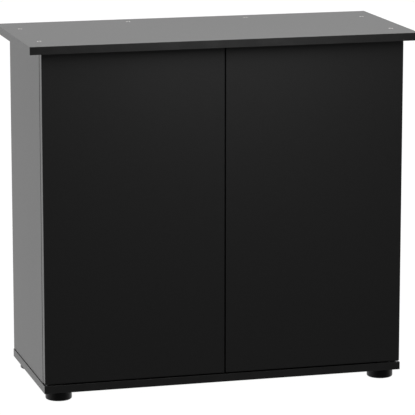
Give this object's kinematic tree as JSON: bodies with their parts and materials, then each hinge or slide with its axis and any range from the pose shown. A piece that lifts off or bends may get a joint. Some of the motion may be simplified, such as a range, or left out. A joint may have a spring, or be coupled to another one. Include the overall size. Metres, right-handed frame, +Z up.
{
  "type": "aquarium stand cabinet",
  "caption": "Black base cabinet that carries an aquarium: overhanging top panel, handleless double doors with push latches, inner shelf, back panel with hose cut-outs, levelling feet",
  "frame": {"origin": "on the floor under the middle of the top panel", "axes": "+X to the right of someone facing the doors, +Y to the back, +Z up; the doors face -Y"},
  "size_m": [0.81, 0.36, 0.73],
  "materials": {
    "black_melamine": "satin black melamine on chipboard, with a fine pearl grain",
    "foot_plastic": "black moulded plastic",
    "latch_plastic": "dark grey moulded plastic",
    "bush_nylon": "natural nylon",
    "screw_nickel": "nickel plated steel",
    "plate_steel": "zinc plated steel, lightly brushed",
    "insert_zinc": "dull zinc alloy"
  },
  "bodies": {
    "carcass": {"back_panel": "black_melamine", "bottom_panel": "black_melamine", "bottom_screw_left_back_panel": "screw_nickel", "bottom_screw_left_front": "screw_nickel", "bottom_screw_left_rear": "screw_nickel", "bottom_screw_right_back_panel": "screw_nickel", "bottom_screw_right_front": "screw_nickel", "bottom_screw_right_rear": "screw_nickel", "foot_insert_left_front": "insert_zinc", "foot_insert_left_rear": "insert_zinc", "foot_insert_right_front": "insert_zinc", "foot_insert_right_rear": "insert_zinc", "left_latch_housing": "latch_plastic", "left_lower_pivot_plate": "plate_steel", "left_lower_plate_screw_1": "screw_nickel", "left_lower_plate_screw_2": "screw_nickel", "left_side_panel": "black_melamine", "left_upper_pivot_plate": "plate_steel", "left_upper_plate_screw_1": "screw_nickel", "left_upper_plate_screw_2": "screw_nickel", "right_latch_housing": "latch_plastic", "right_lower_pivot_plate": "plate_steel", "right_lower_plate_screw_1": "screw_nickel", "right_lower_plate_screw_2": "screw_nickel", "right_side_panel": "black_melamine", "right_upper_pivot_plate": "plate_steel", "right_upper_plate_screw_1": "screw_nickel", "right_upper_plate_screw_2": "screw_nickel", "shelf": "black_melamine", "shelf_pin_left_front": "screw_nickel", "shelf_pin_left_rear": "screw_nickel", "shelf_pin_right_front": "screw_nickel", "shelf_pin_right_rear": "screw_nickel", "top_panel": "black_melamine", "top_screw_left_back_panel": "screw_nickel", "top_screw_left_front": "screw_nickel", "top_screw_left_rear": "screw_nickel", "top_screw_right_back_panel": "screw_nickel", "top_screw_right_front": "screw_nickel", "top_screw_right_rear": "screw_nickel"},
    "left_door_leaf": {"left_door": "black_melamine", "left_lower_pivot_bush": "bush_nylon", "left_strike_plate": "plate_steel", "left_upper_pivot_bush": "bush_nylon"},
    "left_plunger": {"left_latch_plunger": "latch_plastic"},
    "foot_left_front_body": {"foot_left_front": "foot_plastic"},
    "foot_left_rear_body": {"foot_left_rear": "foot_plastic"},
    "right_door_leaf": {"right_door": "black_melamine", "right_lower_pivot_bush": "bush_nylon", "right_strike_plate": "plate_steel", "right_upper_pivot_bush": "bush_nylon"},
    "right_plunger": {"right_latch_plunger": "latch_plastic"},
    "foot_right_front_body": {"foot_right_front": "foot_plastic"},
    "foot_right_rear_body": {"foot_right_rear": "foot_plastic"}
  },
  "joints": [
    {"name": "left_door_hinge", "type": "hinge", "parent": "carcass", "child": "left_door_leaf", "pos_m": [-0.372, -0.1505, 0.374], "axis": [0, 0, -1], "range_deg": [0, 105]},
    {"name": "right_door_hinge", "type": "hinge", "parent": "carcass", "child": "right_door_leaf", "pos_m": [0.372, -0.1505, 0.374], "axis": [0, 0, 1], "range_deg": [0, 105]},
    {"name": "left_plunger_slide", "type": "slide", "parent": "carcass", "child": "left_plunger", "axis": [0, 1, 0], "range_m": [0, 0.003], "stiffness_N_per_m": 150, "springref_m": -0.005},
    {"name": "right_plunger_slide", "type": "slide", "parent": "carcass", "child": "right_plunger", "axis": [0, 1, 0], "range_m": [0, 0.003], "stiffness_N_per_m": 150, "springref_m": -0.005},
    {"name": "foot_left_front_levelling", "type": "slide", "parent": "carcass", "child": "foot_left_front_body", "axis": [0, 0, -1], "range_m": [0, 0.01]},
    {"name": "foot_left_rear_levelling", "type": "slide", "parent": "carcass", "child": "foot_left_rear_body", "axis": [0, 0, -1], "range_m": [0, 0.01]},
    {"name": "foot_right_front_levelling", "type": "slide", "parent": "carcass", "child": "foot_right_front_body", "axis": [0, 0, -1], "range_m": [0, 0.01]},
    {"name": "foot_right_rear_levelling", "type": "slide", "parent": "carcass", "child": "foot_right_rear_body", "axis": [0, 0, -1], "range_m": [0, 0.01]}
  ]
}
